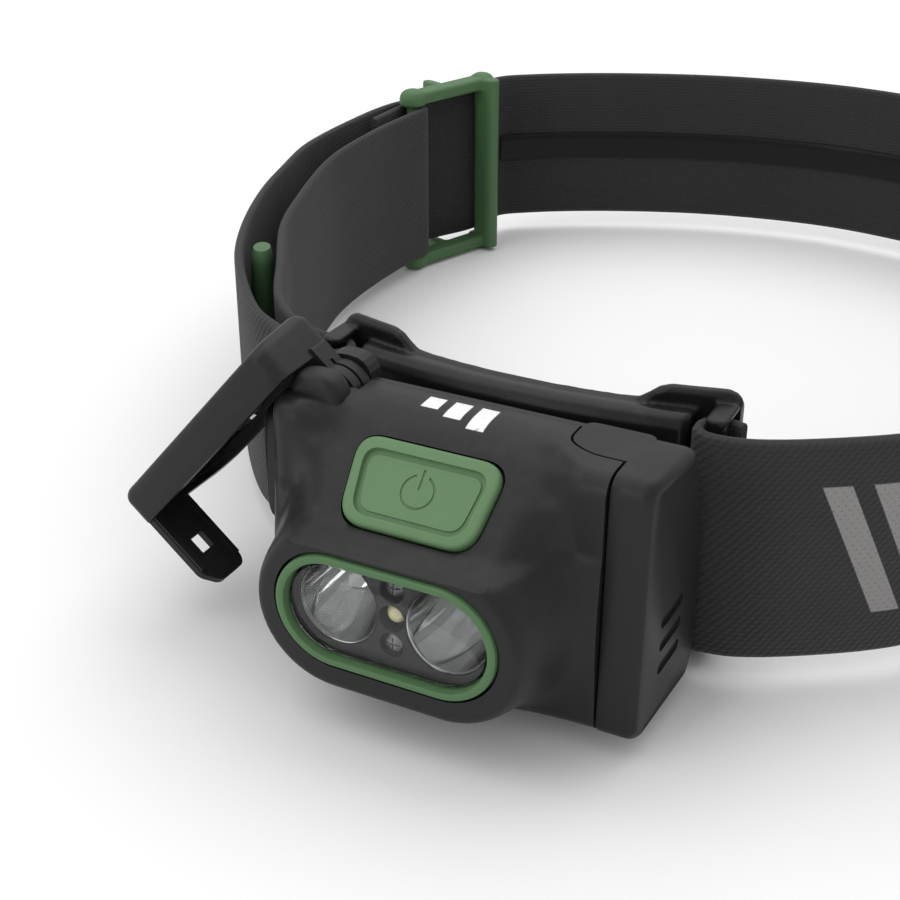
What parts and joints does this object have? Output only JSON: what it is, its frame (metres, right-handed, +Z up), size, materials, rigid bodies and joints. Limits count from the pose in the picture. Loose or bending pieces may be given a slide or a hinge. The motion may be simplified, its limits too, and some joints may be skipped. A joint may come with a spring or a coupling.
{
  "type": "headlamp",
  "caption": "Camping headlamp with a twin-reflector housing that tilts on a forehead bracket, a side battery door, a push button and an elastic head strap with a slider.",
  "frame": {"origin": "middle of the flat base of the lamp housing", "axes": "+Z up, -Y the way the lamp shines, +X to the right as seen from in front of the lamp"},
  "size_m": [0.1537, 0.1934, 0.0423],
  "materials": {
    "body_plastic": "soft satin",
    "bracket_plastic": "satin",
    "pad_foam": "closed-cell foam",
    "seal_rubber": "matt",
    "pin_steel": "bright",
    "cell_case": "printed wrap",
    "contact_nickel": "nickel plate",
    "trim_green": "soft satin",
    "carrier_plastic": "semi-gloss",
    "window_clear": "clear polycarbonate",
    "reflector_chrome": "vacuum metallised",
    "led_resin": "phosphor and clear resin",
    "board_laminate": "solder mask",
    "strap_webbing": "twill elastic webbing",
    "grip_silicone": "glossy silicone"
  },
  "bodies": {
    "headband": {"bracket": "bracket_plastic", "forehead_pad": "pad_foam", "tilt_pin": "pin_steel", "head_strap": "strap_webbing", "grip_stripe": "grip_silicone", "strap_slider": "trim_green", "strap_keeper": "trim_green"},
    "housing": {"front_shell": "body_plastic", "rear_cover": "body_plastic", "right_cap": "body_plastic", "door_pin": "pin_steel", "cell_1": "cell_case", "cell_2": "cell_case", "cap_contact_1": "contact_nickel", "cap_contact_2": "contact_nickel", "cap_spring": "contact_nickel", "button_switch": "carrier_plastic", "lens_bezel": "trim_green", "lens_window": "window_clear", "lens_carrier": "carrier_plastic", "reflector_left": "reflector_chrome", "reflector_right": "reflector_chrome", "led_left": "led_resin", "led_right": "led_resin", "led_centre": "led_resin", "lens_screw_lower": "pin_steel", "lens_screw_upper": "pin_steel", "circuit_board": "board_laminate"},
    "door": {"battery_door": "body_plastic", "door_seal": "seal_rubber", "door_contact": "contact_nickel", "door_spring": "contact_nickel"},
    "button": {"power_button": "trim_green"}
  },
  "joints": [
    {"name": "housing_tilt", "type": "hinge", "parent": "headband", "child": "housing", "pos_m": [0, 0.0108, 0.0027], "axis": [1, 0, 0], "range_deg": [0, 45]},
    {"name": "door_hinge", "type": "hinge", "parent": "housing", "child": "door", "pos_m": [-0.017, 0.002, 0.0315], "axis": [0, 1, 0], "range_deg": [-41, 60]},
    {"name": "button_press", "type": "slide", "parent": "housing", "child": "button", "axis": [0, 0.6858, -0.7278], "range_m": [0, 0.0005], "stiffness_N_per_m": 1500, "springref_m": -0.0003}
  ]
}
